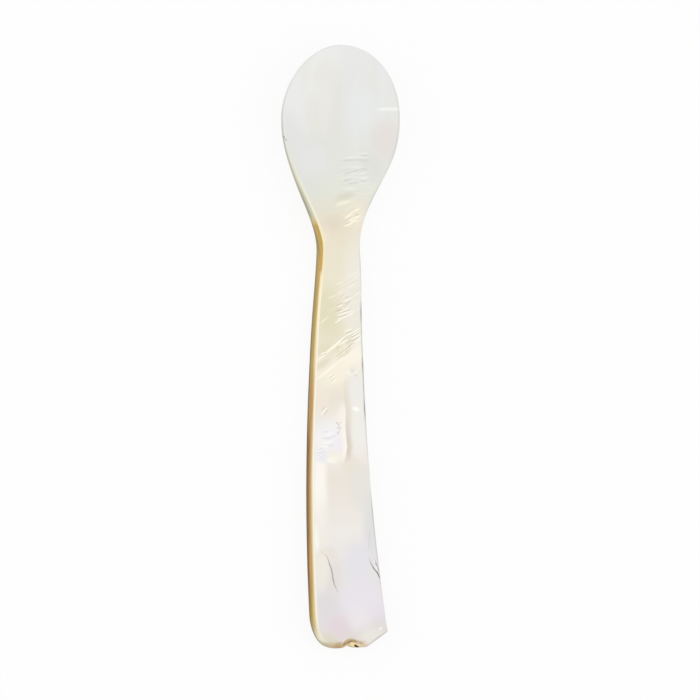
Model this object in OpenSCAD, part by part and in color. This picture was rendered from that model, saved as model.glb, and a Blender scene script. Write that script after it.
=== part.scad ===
// A dessert spoon carved from one piece of pearl-oyster shell.
// The spoon lies on its back along Y, bowl towards +Y and face towards +Z, on the plane z = 0.
// Places along the spoon are distances s from the tip of the bowl, so y = spoon_len / 2 - s.
// Places across it are shares u of the width, from -1 at the left edge to 1 at the right edge.
// The shell's three natural layers are separate solids that meet face to face.

/* [Overall] */
// Length from the tip of the bowl to the butt of the handle
spoon_len = 110; // [90:1:150]

/* [Bowl] */
// Width of the bowl across its rim
bowl_w = 23.15; // [18:0.05:30]
// Distance from the tip to the widest place of the bowl
bowl_widest = 13.4; // [10:0.1:17]
// Distance from the tip to the narrowest place of the neck
neck_s = 37.9; // [32:0.1:46]
// Roundness of the tip's right side, 2 for an ellipse and more for a squarer tip
tip_power = 2.1; // [1.8:0.05:2.8]
// Roundness of the tip's left side
left_tip_power = 1.84; // [1.6:0.02:2.8]
// How late the shoulder draws in towards the neck
shoulder_power = 1.13; // [0.8:0.01:1.4]
// Depth of the hollow below the rim
bowl_depth = 3; // [1.5:0.1:5]
// Thickness of shell under the deepest place of the hollow
bowl_wall = 1.4; // [1:0.1:3]
// Distance from the tip to the deepest place of the hollow
deepest_s = 16; // [11:0.5:20]
// Thickness of the rim
rim_t = 0.95; // [0.6:0.05:1.6]

/* [Handle] */
// Width of the handle at the neck
neck_w = 8.05; // [6:0.05:11]
// Width of the handle at the butt, before its corners are cut
butt_w = 14.9; // [10:0.05:18]
// Thickness of the handle from its face to its flat-ground back
handle_t = 2.95; // [2.4:0.05:5]
// Sideways bend of the butt towards the right
butt_sweep = 2.4; // [0:0.05:4]
// Distance from the tip at which the sideways bend and the rise begin
bend_from = 62; // [55:1:85]
// Sideways sway of the hand-cut neck, to the left before it and to the right after it
neck_sway = 0.35; // [0:0.05:0.8]
// Rise of the butt above the middle of the handle
butt_rise = 1; // [0:0.1:2.5]
// Width of the rounded left corner of the butt
corner_w = 3.7; // [2:0.1:6]
// Length of the rounded left corner of the butt
corner_len = 6.1; // [3:0.1:8]
// Width of the straight cut across the right corner of the butt
chamfer_w = 4.6; // [0:0.1:6]
// Length of the straight cut across the right corner of the butt
chamfer_len = 2.7; // [1:0.1:5]

/* [Edges] */
// How far the handle's left flank leans in from its foot to the face
flank_lean = 0.6; // [0:0.05:1]
// How far the rounding of the face's edge reaches in
face_round = 0.5; // [0.2:0.05:1]
// How far the rounding of the back's edge reaches in
back_round = 0.6; // [0.2:0.05:1]

/* [Shell layers] */
// Thickness of the nacre on the left flank of the handle
nacre_left = 0.5; // [0.3:0.05:0.9]
// Thickness of the nacre on the right flank of the handle
nacre_right = 1.2; // [0.6:0.05:1.4]
// Distance from the tip at which the golden layer runs out under the neck
golden_from = 29; // [24:0.5:34]
// Length of the tongue of golden layer that reaches on under the bowl
golden_tongue = 5; // [0:0.5:6]
// Thickness of the brown rind
rind_t = 0.4; // [0.2:0.05:0.6]
// Distance from the tip at which the brown rind runs out
rind_from = 46; // [42:1:60]
// Height of the back's natural crown from its edges to its middle
back_crown = 0.9; // [0.5:0.05:1.4]
// Depth ground off the crown to make the flat back
ground_depth = 0.6; // [0.3:0.05:0.9]

/* [Chip in the butt] */
// Radius of the shallow scoop worn through the nacre at the butt
scoop_r = 2.2; // [2:0.1:5]
// Depth of the scoop below the face
scoop_depth = 1.15; // [0.5:0.05:1.5]
// Radius of the small pit in the scoop
pit_r = 0.4; // [0.2:0.05:0.8]

/* [Hidden] */

// Rows of the surfaces along the spoon, and columns across it
tip_rows = 11;
shaft_rows = 36;
butt_rows = 8;
inner_columns = 8;
edge_shares = [0, 0.05, 0.22, 0.55, 1];
edge_limits = [0, 0.03, 0.08, 0.15, 0.24];
columns = 2 * len(edge_shares) + inner_columns - 1;

// Heights of the rim and of the belly follow from the bowl's depth and wall
rim_z = bowl_depth + bowl_wall;
edge_round = max(face_round, back_round);
// Share of the rim's thickness at which its two roundings meet
rim_part = 0.5;
// Share of the flank at which the golden layer starts to show
golden_part = 0.08;
// Lengths over which the bowl turns into the handle, the golden layer grows to its full height,
// the rim's parting line comes down to it, and the rows bow along its tongue
neck_blend = 26;
golden_blend = 15;
rim_blend = 8;
tongue_blend = 15;
// Distance of the sway's middle ahead of the neck, and its length
sway_ahead = 3.9;
sway_len = 9.9;
// Height of the arch under the neck
neck_arch = 0.4;
// Rise and fall of the rind's thickness along the handle, the length of one wave, and the length
// over which it grows from its first share of the thickness to the whole
rind_wave = 0.2;
rind_wave_len = 17;
rind_blend = 24;
rind_start = 0.3;
// Columns and rows by which the rind stays short of the flank and of the butt
rind_inset = 1;
face_power = 2.5;
back_power = 4;
step = 0.01;
far = 4 * spoon_len;

function mix(a, b, t) = a + (b - a) * t;
function share(a, b, s) = min(1, max(0, (s - a) / (b - a)));
function ease(a, b, s) = let (t = share(a, b, s)) t * t * (3 - 2 * t);
function swing(t) = (1 - cos(180 * t)) / 2;

// Plan outline
function flare(s) = mix(neck_w, butt_w, (s - neck_s) / (spoon_len - neck_s)) / 2;
function tip_half(s, power) = bowl_w / 2 * pow(1 - pow(1 - s / bowl_widest, power), 1 / power);
function shoulder(s) = swing(pow(share(bowl_widest, neck_s, s), shoulder_power));
function half_w(s, power) =
    s < bowl_widest ? tip_half(s, power) : mix(bowl_w / 2, flare(s), shoulder(s));
function bend(s) = pow(share(bend_from, spoon_len, s), 2);
function corner_cut(s) =
    corner_w * (1 - sqrt(1 - pow(share(spoon_len - corner_len, spoon_len, s), 2)));
function chamfer_cut(s) = chamfer_w * share(spoon_len - chamfer_len, spoon_len, s);
function sway(s) = let (t = (s - neck_s + sway_ahead) / sway_len)
    neck_sway * sqrt(2) * t * exp(0.5 - t * t);
function axis_x(s) = butt_sweep * bend(s) + sway(s);
function left_x(s) = axis_x(s) - half_w(s, left_tip_power) + corner_cut(s);
function right_x(s) = axis_x(s) + half_w(s, tip_power) - chamfer_cut(s);
function mid_x(s) = (left_x(s) + right_x(s)) / 2;
function span(s) = (right_x(s) - left_x(s)) / 2;

// Cosine of the outline's slant, which turns a distance across into one square to the edge
function slant(low, high, run) = run / sqrt(run * run + (high - low) * (high - low));
function left_cos(s) =
    let (a = max(0, s - step), b = min(spoon_len, s + step)) slant(left_x(a), left_x(b), b - a);
function right_cos(s) =
    let (a = max(0, s - step), b = min(spoon_len, s + step)) slant(right_x(a), right_x(b), b - a);

// Heights along the spoon
function rise(s) = butt_rise * bend(s);
function to_handle(s) = ease(neck_s - neck_blend * 0.75, neck_s + neck_blend * 0.25, s);
function face_z(s) = mix(rim_z, handle_t, to_handle(s)) + rise(s);
function edge_z(s) = mix(rim_z - rim_t, back_crown - ground_depth, to_handle(s)) + rise(s);
function belly_z(s) = (rim_z - rim_t) * pow(1 - share(0, deepest_s, s), 2.2);
function arch_z(s) = neck_arch * pow(sin(180 * share(deepest_s, neck_s + 8, s)), 2);
function back_z(s) =
    belly_z(s) + arch_z(s) - ground_depth * ease(neck_s - 8, neck_s + 8, s) + rise(s);
function hollow(s) =
    bowl_depth * (s < deepest_s
        ? 1 - pow(1 - s / deepest_s, 2)
        : 1 - swing(share(deepest_s, neck_s + 2, s)));

// Raw face and back, before the edges are rounded
function raw_face(s, u) = face_z(s) - hollow(s) * pow(1 - u * u, 1.2);
function raw_back(s, u) = mix(back_z(s), edge_z(s), u * u);

// Height on the flank where the nacre ends, as a share of the flank
function flank(s) = face_z(s) - edge_z(s);
function part_share(s, nacre) =
    s < golden_from
        ? mix(rim_part, golden_part, ease(golden_from - rim_blend, golden_from, s))
        : mix(golden_part, 1 - nacre / flank(s), ease(golden_from, golden_from + golden_blend, s));
function part_z(s, u) =
    edge_z(s) + flank(s) * mix(part_share(s, nacre_left), part_share(s, nacre_right), (1 + u) / 2);

// Rounding of the edges: 0 on the outline and 1 beyond the reach of the rounding
function round_share(d, reach, power) =
    d >= reach ? 1 : pow(1 - pow(1 - max(0, d) / reach, power), 1 / power);
function edge_gap(s, u) = span(s) * (1 - u * u) / 2 * (u < 0 ? left_cos(s) : right_cos(s));
function rounded(s, u, reach, power) =
    round_share(edge_gap(s, u), reach, power) * round_share(spoon_len - s, reach, power);

// Finished heights of the face and of the unground back
function face(s, u) = mix(part_z(s, u), raw_face(s, u), rounded(s, u, face_round, face_power));
function back(s, u) = mix(part_z(s, u), raw_back(s, u), rounded(s, u, back_round, back_power));

// Rows: dense at the tip and at the butt
rows_s = concat(
    [for (i = [0 : tip_rows - 1]) bowl_widest * (1 - cos(90 * i / tip_rows))],
    [for (i = [0 : shaft_rows - 1]) mix(bowl_widest, spoon_len - corner_len, i / shaft_rows)],
    [for (i = [0 : butt_rows]) spoon_len - corner_len * (1 - sin(90 * i / butt_rows))]
);
last = len(rows_s) - 1;
function first_row(s) = min([for (i = [0 : last]) if (rows_s[i] >= s) i]);
golden_row = first_row(golden_from);
rind_row = first_row(rind_from);

// Columns: close together over the rounded edges
function edge_u(j, s, cosine) =
    1 - min(edge_shares[j] * edge_round / max(step, cosine * span(s)), edge_limits[j]);
function column_u(s) = let (
    n = len(edge_shares),
    left = [for (j = [0 : n - 1]) -edge_u(j, s, left_cos(s))],
    right = [for (j = [n - 1 : -1 : 0]) edge_u(j, s, right_cos(s))]
) concat(left, [for (k = [1 : inner_columns - 1]) mix(left[n - 1], right[0], k / inner_columns)], right);
us = [for (s = rows_s) column_u(s)];

// Rows bow towards the tip where the golden layer runs out in a tongue
function bow(s) =
    golden_tongue * pow(cos(90 * min(1, abs(s - rows_s[golden_row]) / tongue_blend)), 2);
function row_s(i, j) = rows_s[i] - bow(rows_s[i]) * (1 - us[i][j] * us[i][j]);
function rind_ramp(i, j) = min(1,
    max(0, j - rind_inset) / 2, max(0, columns - 1 - rind_inset - j) / 2,
    max(0, i - rind_row) / 2, max(0, last - rind_inset - i) / 2);
function rind(i, j) = let (s = row_s(i, j)) rind_t * rind_ramp(i, j)
    * mix(rind_start, 1, ease(rind_from, rind_from + rind_blend, s))
    * (1 + rind_wave * sin(360 * s / rind_wave_len));
function golden_share(i) =
    ease(rows_s[golden_row], rows_s[golden_row] + golden_blend, rows_s[i]);
function bond(i, j) = let (s = row_s(i, j), u = us[i][j])
    mix(back(s, u), part_z(s, u), golden_share(i));
// Sideways lean of the left flank at a height, fading across the width
function lean(s, u, z) = flank_lean * ease(golden_from, golden_from + golden_blend, s)
    * pow(share(edge_z(s), face_z(s), z), 2) * pow((1 - u) / 2, 6);
function place(i, j, z) = let (s = row_s(i, j), u = us[i][j])
    [mid_x(s) + u * span(s) + lean(s, u, z), spoon_len / 2 - s, z];

function face_points(a, b, c) =
    [for (i = [a : b]) [for (j = [c : columns - 1 - c]) place(i, j, face(row_s(i, j), us[i][j]))]];
function bond_points(a, b, c) =
    [for (i = [a : b]) [for (j = [c : columns - 1 - c]) place(i, j, bond(i, j))]];
function rind_points(a, b, c) = [for (i = [a : b]) [for (j = [c : columns - 1 - c])
    place(i, j, back(row_s(i, j), us[i][j]) + rind(i, j))]];
function back_points(a, b, c) =
    [for (i = [a : b]) [for (j = [c : columns - 1 - c]) place(i, j, back(row_s(i, j), us[i][j]))]];

// A closed solid between two grids of points that share their outer rows and columns
module layer(upper, lower, pointed = false) {
    rows = len(upper);
    cols = len(upper[0]);
    function up(i, j) = pointed && i == 0 ? 0 : i * cols + j;
    function low(i, j) = i == 0 || i == rows - 1 || j == 0 || j == cols - 1
        ? up(i, j) : rows * cols + (i - 1) * (cols - 2) + j - 1;
    function halves(a, b, c, d, i, j) =
        pointed && i == 0 ? [[a, c, d]]
        : (i < rows / 2) == (j < (cols - 1) / 2) ? [[a, b, c], [a, c, d]] : [[a, b, d], [b, c, d]];
    function turned(f) = [f[0], f[2], f[1]];
    polyhedron(
        points = concat(
            [for (row = upper) each row],
            [for (i = [1 : rows - 2]) for (j = [1 : cols - 2]) lower[i][j]]
        ),
        faces = concat(
            [for (i = [0 : rows - 2]) for (j = [0 : cols - 2])
                each halves(up(i, j), up(i, j + 1), up(i + 1, j + 1), up(i + 1, j), i, j)],
            [for (i = [0 : rows - 2]) for (j = [0 : cols - 2])
                for (f = halves(low(i, j), low(i, j + 1), low(i + 1, j + 1), low(i + 1, j), i, j))
                    turned(f)]
        )
    );
}

// Everything below the plane that the back is ground flat on
module ground_stock() {
    translate([-far / 2, -far / 2, -far]) cube(far);
}

// The worn scoop in the middle of the butt's face
module scoop() {
    translate([mid_x(spoon_len), -spoon_len / 2, face_z(spoon_len) - scoop_depth + scoop_r])
        sphere(scoop_r, $fn = 48);
}

// A small pit that runs in from the butt below the scoop
module pit() {
    translate([mid_x(spoon_len), -spoon_len / 2, face_z(spoon_len) - scoop_depth])
        sphere(pit_r, $fn = 32);
}

module nacre_body() {
    color("#e9e7e2") difference() {
        layer(face_points(0, last, 0), bond_points(0, last, 0), pointed = true);
        scoop();
    }
}

module golden_layer() {
    color("#c49f60") difference() {
        layer(bond_points(golden_row, last, 0), rind_points(golden_row, last, 0));
        ground_stock();
        scoop();
        pit();
    }
}

module brown_rind() {
    color("#6f5935") difference() {
        layer(
            rind_points(rind_row, last - rind_inset, rind_inset),
            back_points(rind_row, last - rind_inset, rind_inset)
        );
        ground_stock();
    }
}

nacre_body();
golden_layer();
brown_rind();
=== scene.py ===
"""A dessert spoon carved from one piece of pearl-oyster shell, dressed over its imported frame.

The three layers of the shell are drawn as smooth surfaces from the same plan and profile as the
solids: white nacre on the face, the golden layer under it, and the brown outer rind on the back.
"""

import math

import bpy
import numpy as np
from mathutils import Matrix, Vector


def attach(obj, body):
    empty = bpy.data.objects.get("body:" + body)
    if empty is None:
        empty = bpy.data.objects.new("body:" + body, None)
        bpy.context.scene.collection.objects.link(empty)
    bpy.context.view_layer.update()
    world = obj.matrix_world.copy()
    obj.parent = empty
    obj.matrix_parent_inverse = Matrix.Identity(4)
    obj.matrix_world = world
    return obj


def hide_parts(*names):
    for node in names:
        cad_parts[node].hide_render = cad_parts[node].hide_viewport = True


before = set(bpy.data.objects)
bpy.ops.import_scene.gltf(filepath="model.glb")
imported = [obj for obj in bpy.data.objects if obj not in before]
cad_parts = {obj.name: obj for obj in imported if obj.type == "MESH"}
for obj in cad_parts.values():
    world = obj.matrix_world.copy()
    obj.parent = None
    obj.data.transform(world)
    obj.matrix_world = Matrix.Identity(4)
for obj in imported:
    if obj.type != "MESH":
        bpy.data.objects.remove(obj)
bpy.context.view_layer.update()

MM = 0.001

# Sizes of the spoon in millimetres, as in the part's source. Only the bowl is a hundredth narrower, so
# that its smooth outline stays inside the box of the solids.
SPOON_LEN = 110.0
BOWL_W, BOWL_WIDEST, NECK_S = 23.14, 13.4, 37.9
TIP_POWER, LEFT_TIP_POWER, SHOULDER_POWER = 2.1, 1.84, 1.13
BOWL_DEPTH, BOWL_WALL, DEEPEST_S, RIM_T = 3.0, 1.4, 16.0, 0.95
NECK_W, BUTT_W, HANDLE_T = 8.05, 14.9, 2.95
BUTT_SWEEP, BEND_FROM, BUTT_RISE = 2.4, 62.0, 1.0
FLANK_LEAN = 0.6
NECK_SWAY, SWAY_AHEAD, SWAY_LEN = 0.35, 3.9, 9.9
CORNER_W, CORNER_LEN, CHAMFER_W, CHAMFER_LEN = 3.7, 6.1, 4.6, 2.7
FACE_ROUND, BACK_ROUND, FACE_POWER, BACK_POWER = 0.5, 0.6, 2.5, 4.0
NACRE_LEFT, NACRE_RIGHT = 0.5, 1.2
GOLDEN_FROM, GOLDEN_TONGUE, GOLDEN_BLEND = 29.0, 5.0, 15.0
RIM_BLEND, TONGUE_BLEND, NECK_BLEND, NECK_ARCH = 8.0, 15.0, 26.0, 0.4
BLEND_AHEAD, CROWN_BLEND, HOLLOW_RUNOUT = 0.75, 8.0, 2.0
BELLY_POWER, HOLLOW_POWER, LEAN_POWER = 2.2, 1.2, 6
RIM_PART, GOLDEN_PART = 0.5, 0.08
RIND_T, RIND_FROM, RIND_BLEND, RIND_START = 0.4, 46.0, 24.0, 0.3
RIND_WAVE, RIND_WAVE_LEN, RIND_RAMP = 0.2, 17.0, 5.0
# The rind is nothing, half and whole at these gaps: from the outline, as shares of the rounding, and
# from the butt's end
RIND_STEPS, RIND_GAPS, RIND_BUTT_GAPS = (0, 0.5, 1), (0.05, 0.22, 0.55), (0.1, 0.43, 0.95)
BACK_CROWN, GROUND_DEPTH = 0.9, 0.6
SCOOP_R, SCOOP_DEPTH = 2.2, 1.15
RIM_Z = BOWL_DEPTH + BOWL_WALL
EDGE_ROUND = max(FACE_ROUND, BACK_ROUND)
# The face is drawn a little under that of the solids, so that its swell stays inside their box. The
# swell grows over a stretch in from the outline.
FACE_DROP, SWELL_DROP, SWELL_GAPS = 0.005, 0.04, (0.2, 1.2)
# Thinnest nacre over the golden layer, the gap from the outline over which it grows to that, and the
# width over which the edges of the chip are worn round
SKIN_T, SKIN_GAP, CHIP_SOFTNESS = 0.04, 0.3, 0.4

# Fineness of the drawn surfaces, and how closely the columns pack over the rounded edges, where they
# take up a limited share of the half width
TIP_ROWS, SHAFT_ROWS, BUTT_ROWS = 60, 350, 50
EDGE_COLUMNS, INNER_COLUMNS = 12, 64
EDGE_PACKING, EDGE_LIMIT, LIMIT_POWER, LEAST_HALF = 1.6, 0.24, 0.62, 0.01
# The same for the strips of rind, and the least share of a strip's width that its far columns get
RIND_NEAR_COLUMNS, RIND_FAR_COLUMNS, RIND_PACKING, RIND_ROW_GAP = 16, 10, 1.7, 0.05
LEAST_FAR = 0.3
# Edges that turn more than this are drawn sharp
SHARP_EDGE = math.radians(50)


def share(a, b, s):
    """How far s is from a to b, held between 0 and 1."""
    return np.clip((s - a) / (b - a), 0.0, 1.0)


def ease(a, b, s):
    """Smooth step from 0 at a to 1 at b: three squares less two cubes of the share."""
    t = share(a, b, s)
    return t * t * (3 - 2 * t)


def mix(a, b, t):
    """Straight blend from a to b."""
    return a + (b - a) * t


def swing(t):
    """Half a cosine wave from 0 to 1."""
    return (1 - np.cos(np.pi * t)) / 2


def half_width(s, power):
    """Half the width at s: a superellipse at the tip, then half a cosine wave from the bowl's
    widest place to the neck, where it meets the handle's straight flare."""
    flare = mix(NECK_W, BUTT_W, (s - NECK_S) / (SPOON_LEN - NECK_S)) / 2
    tip = 1 - np.clip(1 - s / BOWL_WIDEST, 0, 1) ** power
    tip = BOWL_W / 2 * np.clip(tip, 0, 1) ** (1 / power)
    drawn_in = swing(share(BOWL_WIDEST, NECK_S, s) ** SHOULDER_POWER)
    return np.where(s < BOWL_WIDEST, tip, mix(BOWL_W / 2, flare, drawn_in))


def bend(s):
    """Square of the share of the handle behind the place where it starts to bend and rise."""
    return share(BEND_FROM, SPOON_LEN, s) ** 2


def axis_x(s):
    """Middle line: the parabola of the bend, and a sway shaped as a bell curve's slope."""
    t = (s - NECK_S + SWAY_AHEAD) / SWAY_LEN
    return BUTT_SWEEP * bend(s) + NECK_SWAY * math.sqrt(2) * t * np.exp(0.5 - t * t)


def left_x(s):
    """Left edge: the middle line less half the width, drawn in by a quarter ellipse at the butt."""
    t = share(SPOON_LEN - CORNER_LEN, SPOON_LEN, s)
    return axis_x(s) - half_width(s, LEFT_TIP_POWER) + CORNER_W * (1 - np.sqrt(1 - t * t))


def right_x(s):
    """Right edge: the middle line plus half the width, cut off straight at the butt."""
    chamfer = CHAMFER_W * share(SPOON_LEN - CHAMFER_LEN, SPOON_LEN, s)
    return axis_x(s) + half_width(s, TIP_POWER) - chamfer


def slant(edge, s, step=0.01):
    """Cosine of an edge's slant at s, from the edge a small step before and after."""
    a, b = np.maximum(0, s - step), np.minimum(SPOON_LEN, s + step)
    return (b - a) / np.hypot(b - a, edge(b) - edge(a))


def to_handle(s):
    """Smooth step from the bowl to the handle, most of it ahead of the neck."""
    start = NECK_S - BLEND_AHEAD * NECK_BLEND
    return ease(start, start + NECK_BLEND, s)


def face_z(s):
    """Height of the face's edges: the rim, eased down to the handle, plus the rise of the butt."""
    return mix(RIM_Z, HANDLE_T, to_handle(s)) + BUTT_RISE * bend(s)


def edge_z(s):
    """Height of the back's edges: under the rim, eased down to the edge of the crowned back."""
    return mix(RIM_Z - RIM_T, BACK_CROWN - GROUND_DEPTH, to_handle(s)) + BUTT_RISE * bend(s)


def back_z(s):
    """Height of the back's middle line: the belly, an arch under the neck, the unground crown."""
    belly = (RIM_Z - RIM_T) * (1 - share(0, DEEPEST_S, s)) ** BELLY_POWER
    arch = NECK_ARCH * np.sin(np.pi * share(DEEPEST_S, NECK_S + CROWN_BLEND, s)) ** 2
    crown = GROUND_DEPTH * ease(NECK_S - CROWN_BLEND, NECK_S + CROWN_BLEND, s)
    return belly + arch - crown + BUTT_RISE * bend(s)


def hollow(s):
    """Depth of the bowl along its middle line: a parabola to the deepest place, then half a
    cosine wave that runs out behind the neck."""
    front = 1 - np.clip(1 - s / DEEPEST_S, 0, 1) ** 2
    behind = 1 - swing(share(DEEPEST_S, NECK_S + HOLLOW_RUNOUT, s))
    return BOWL_DEPTH * np.where(s < DEEPEST_S, front, behind)


def part_z(s, u):
    """Height on the flanks where the nacre ends, blended straight across from left to right."""
    flank = face_z(s) - edge_z(s)
    before = mix(RIM_PART, GOLDEN_PART, ease(GOLDEN_FROM - RIM_BLEND, GOLDEN_FROM, s))
    grown = ease(GOLDEN_FROM, GOLDEN_FROM + GOLDEN_BLEND, s)
    left = np.where(s < GOLDEN_FROM, before, mix(GOLDEN_PART, 1 - NACRE_LEFT / flank, grown))
    right = np.where(s < GOLDEN_FROM, before, mix(GOLDEN_PART, 1 - NACRE_RIGHT / flank, grown))
    return edge_z(s) + flank * mix(left, right, (1 + u) / 2)


def round_share(gap, reach, power):
    """Superellipse rounding: 0 on the outline, 1 where the gap to it passes the reach."""
    return (1 - np.clip(1 - gap / reach, 0, 1) ** power) ** (1 / power)


def soft_min(a, b, width):
    """The lower of two heights, blended over a width, as worn edges are."""
    h = np.clip(0.5 + (b - a) / (2 * width), 0, 1)
    return mix(b, a, h) - width * h * (1 - h)


# Marks on the face, in millimetres from the middle of the spoon, each listed from the tip down
LEFT_CRACK = ((-3.8, -37.5), (-3.2, -37.7), (-2.7, -38.2), (-2.4, -38.8), (-2.2, -39.5),
              (-1.8, -40.4), (-1.6, -41.3), (-1.5, -42.2), (-1.2, -43.4), (-0.7, -44.4),
              (0.0, -45.7))
RIGHT_CRACK = ((5.8, -38.9), (6.2, -39.9), (6.8, -40.8), (7.3, -41.3), (7.6, -41.9), (8.2, -42.9))
RIDGE = ((1.0, -5.4), (0.8, -7.3), (0.9, -9.5), (1.2, -11.7), (1.2, -14.4), (1.35, -16.6),
         (1.55, -18.2), (1.3, -19.9), (1.0, -21.1))
# Where along the spoon each mark grows from its upper end and fades to its lower end
RIDGE_GROWS, RIDGE_FADES = (-4.0, -16.5), (-21.5, -19.0)
LEFT_CRACK_GROWS, LEFT_CRACK_FADES = (-37.4, -40.0), (-46.0, -43.6)
RIGHT_CRACK_GROWS, RIGHT_CRACK_FADES = (-38.6, -40.4), (-43.4, -42.6)
# The ridge's drop, the step that makes it, and the distance over which the face rises again
RIDGE_DROP, RIDGE_STEP, RISE_FROM, RISE_LEN = 0.16, (-0.1, 0.7), 0.4, 1.6
CRACK_W, LEFT_CRACK_DEPTH, RIGHT_CRACK_DEPTH = 0.2, 0.06, 0.09
PIT, PIT_W, PIT_DEPTH = (3.3, -54.7), 0.3, 0.45
NICK_X, NICK_W, NICK_DEPTH, NICK_LEN = 1.6, 0.75, 0.3, 2.5
# Waves of the face's swell: height in mm, radians per mm across and along, and start
SWELLS = ((0.012, 0.62, 0.37, 0.8), (0.014, -0.55, 0.41, 0.0), (0.008, 0.9, 1.05, 2.0))


def beside(x, y, line):
    """How far to the right of a broken line, which runs down the spoon, a place is."""
    line = np.array(line[::-1])
    return x - np.interp(y, line[:, 1], line[:, 0])


def ridge_drop(x, y):
    """How far the face drops beside the ridge: a steep step to its right that fades away over a
    few millimetres, strongest near the lower end."""
    ahead = beside(x, y, RIDGE)
    step = RIDGE_DROP * ease(*RIDGE_GROWS, y) * ease(*RIDGE_FADES, y) * ease(*RIDGE_STEP, ahead)
    return step * np.exp(-np.maximum(0, ahead - RISE_FROM) / RISE_LEN)


def crack_drop(x, y):
    """Shallow grooves along the two cracks, bell-shaped across and fading out at their ends."""
    left = np.exp(-(beside(x, y, LEFT_CRACK) / CRACK_W) ** 2)
    left = left * ease(*LEFT_CRACK_GROWS, y) * ease(*LEFT_CRACK_FADES, y)
    right = np.exp(-(beside(x, y, RIGHT_CRACK) / CRACK_W) ** 2)
    right = right * ease(*RIGHT_CRACK_GROWS, y) * ease(*RIGHT_CRACK_FADES, y)
    return LEFT_CRACK_DEPTH * left + RIGHT_CRACK_DEPTH * right


def growth_ripple(x, y):
    """Faint swell of the polished face: three crossed sine waves some 6 to 15 mm long."""
    return sum(height * np.sin(across * x + along * y + start)
               for height, across, along, start in SWELLS)


def scoop_z(x, y):
    """Underside of the ball that wore the scoop into the butt, high up outside it, with a bell-
    shaped pit in its bottom."""
    cx = (left_x(SPOON_LEN) + right_x(SPOON_LEN)) / 2
    cz = face_z(SPOON_LEN) - SCOOP_DEPTH + SCOOP_R
    r2 = (x - cx) ** 2 + (y + SPOON_LEN / 2) ** 2
    ball = np.where(r2 < SCOOP_R ** 2, cz - np.sqrt(np.maximum(0, SCOOP_R ** 2 - r2)), cz)
    return ball - PIT_DEPTH * np.exp(-((x - PIT[0]) ** 2 + (y - PIT[1]) ** 2) / PIT_W ** 2)


# Rows run from the tip to the butt, dense at both ends
rows = np.concatenate((
    BOWL_WIDEST * (1 - np.cos(np.pi / 2 * np.arange(TIP_ROWS) / TIP_ROWS)),
    np.linspace(BOWL_WIDEST, SPOON_LEN - CORNER_LEN, SHAFT_ROWS, endpoint=False),
    SPOON_LEN - CORNER_LEN * (1 - np.sin(np.pi / 2 * np.arange(BUTT_ROWS + 1) / BUTT_ROWS)),
))
golden_row = int(np.argmax(rows >= GOLDEN_FROM))


def column_shares(s):
    """Shares of the width, from -1 to 1, for each row: close together over the rounded edges,
    and evenly spaced between them."""
    near = (np.arange(EDGE_COLUMNS + 1) / EDGE_COLUMNS) ** EDGE_PACKING
    limit = EDGE_LIMIT * near ** LIMIT_POWER
    half = (right_x(s) - left_x(s))[:, None] / 2
    left = np.maximum(LEAST_HALF, slant(left_x, s)[:, None] * half)
    right = np.maximum(LEAST_HALF, slant(right_x, s)[:, None] * half)
    left = np.minimum(EDGE_ROUND * near / left, limit) - 1
    right = 1 - np.minimum(EDGE_ROUND * near / right, limit)
    between = np.arange(1, INNER_COLUMNS) / INNER_COLUMNS
    inner = mix(left[:, -1:], right[:, -1:], between)
    return np.concatenate((left, inner, right[:, ::-1]), axis=1)


def outline_gap(s, u):
    """Distance in from the outline, square to it: half the width times (1 - u squared) / 2."""
    half = (right_x(s) - left_x(s)) / 2
    return half * (1 - u * u) / 2 * np.where(u < 0, slant(left_x, s), slant(right_x, s))


def plan(s, u):
    """Place in plan of a share u of the width at s, with the nick in the butt's end."""
    x = mix(left_x(s), right_x(s), (1 + u) / 2)
    nick = NICK_DEPTH * np.exp(-((x - NICK_X) / NICK_W) ** 2)
    return x, SPOON_LEN / 2 - s + nick * ease(SPOON_LEN - NICK_LEN, SPOON_LEN, s)


def lean(s, u, z):
    """How far the handle's left flank leans in towards the face at a height: the square of the
    height's share of the flank, fading across the width with the sixth power."""
    grown = FLANK_LEAN * ease(GOLDEN_FROM, GOLDEN_FROM + GOLDEN_BLEND, s)
    return grown * share(edge_z(s), face_z(s), z) ** 2 * ((1 - u) / 2) ** LEAN_POWER


def back_height(s, u):
    """Unground back: a parabola across from its middle line to its edges, rounded at the edges."""
    rounded = (round_share(outline_gap(s, u), BACK_ROUND, BACK_POWER)
               * round_share(SPOON_LEN - s, BACK_ROUND, BACK_POWER))
    return mix(part_z(s, u), mix(back_z(s), edge_z(s), u * u), rounded)


def rind_height(s, u):
    """Thickness of the rind: nothing at its front, at the flanks and at the butt, and a slow wave
    along the handle."""
    ramp = np.interp(outline_gap(s, u) / BACK_ROUND, RIND_GAPS, RIND_STEPS)
    ramp = np.minimum(ramp, share(RIND_FROM, RIND_FROM + RIND_RAMP, s))
    ramp = np.minimum(ramp, np.interp(SPOON_LEN - s, RIND_BUTT_GAPS, RIND_STEPS))
    grown = mix(RIND_START, 1, ease(RIND_FROM, RIND_FROM + RIND_BLEND, s))
    return RIND_T * ramp * grown * (1 + RIND_WAVE * np.sin(2 * np.pi * s / RIND_WAVE_LEN))


# For a material that follows one edge, places past the middle count as far away: by a gap in mm, over
# shares of the half width. The chip counts as worn between two depths in mm.
FAR_GAP, HALFWAY, RIM_HALF, WORN_DEPTHS = 9.0, 0.5, (0.5, 0.1), (0.02, 0.4)


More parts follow.
